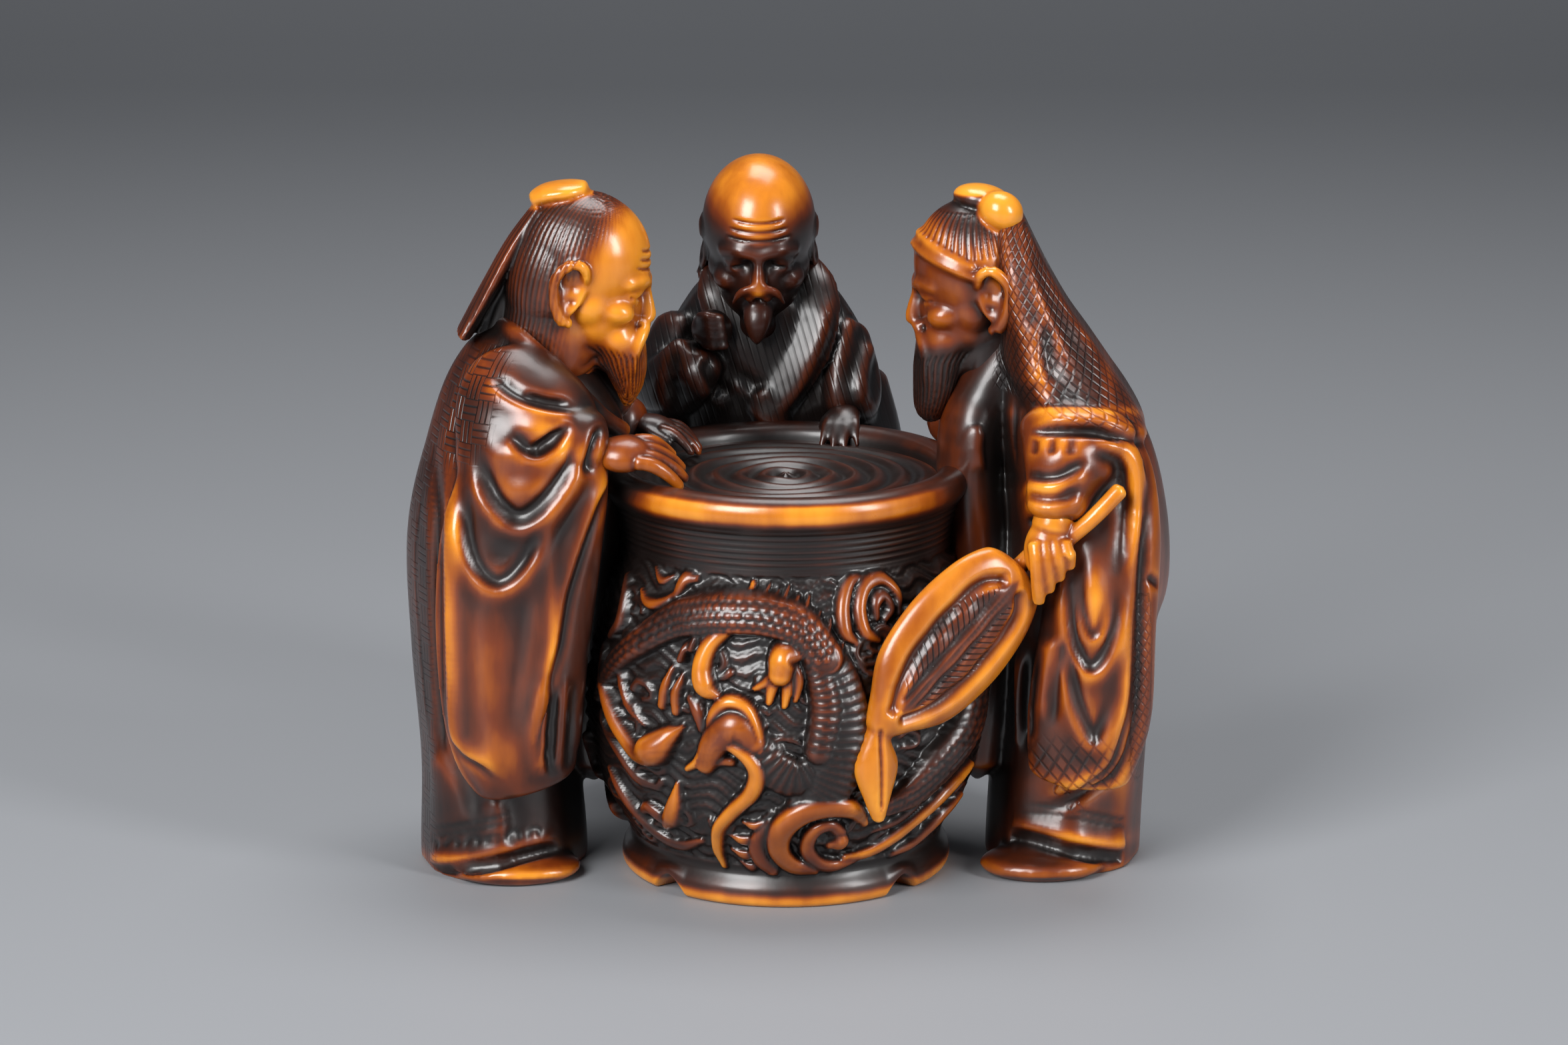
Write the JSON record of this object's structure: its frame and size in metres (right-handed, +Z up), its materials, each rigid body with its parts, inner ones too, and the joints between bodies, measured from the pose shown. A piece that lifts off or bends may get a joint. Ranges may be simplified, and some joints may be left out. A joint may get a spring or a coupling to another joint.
{
  "type": "netsuke",
  "caption": "Small carved figure group for display: robed sages stand round a jar with a dragon relief and lean over its rim; a cord channel opens on one sage's back.",
  "frame": {"origin": "centre of the jar's foot, on the ground that the carving stands on", "axes": "+Z up; -Y is the open side of the ring of figures, where the jar and its dragon show; +X is to the right seen from there, towards the hooded sage"},
  "size_m": [0.0417, 0.0316, 0.0375],
  "materials": {
    "stained_ivory": "Hand-carved, stained and polished ivory-like organic material. Amber on the rubbed high places, red-brown on the slopes and nearly black in the cuts. Satin gloss."
  },
  "bodies": {
    "root": {"netsuke": "stained_ivory"}
  },
  "joints": []
}
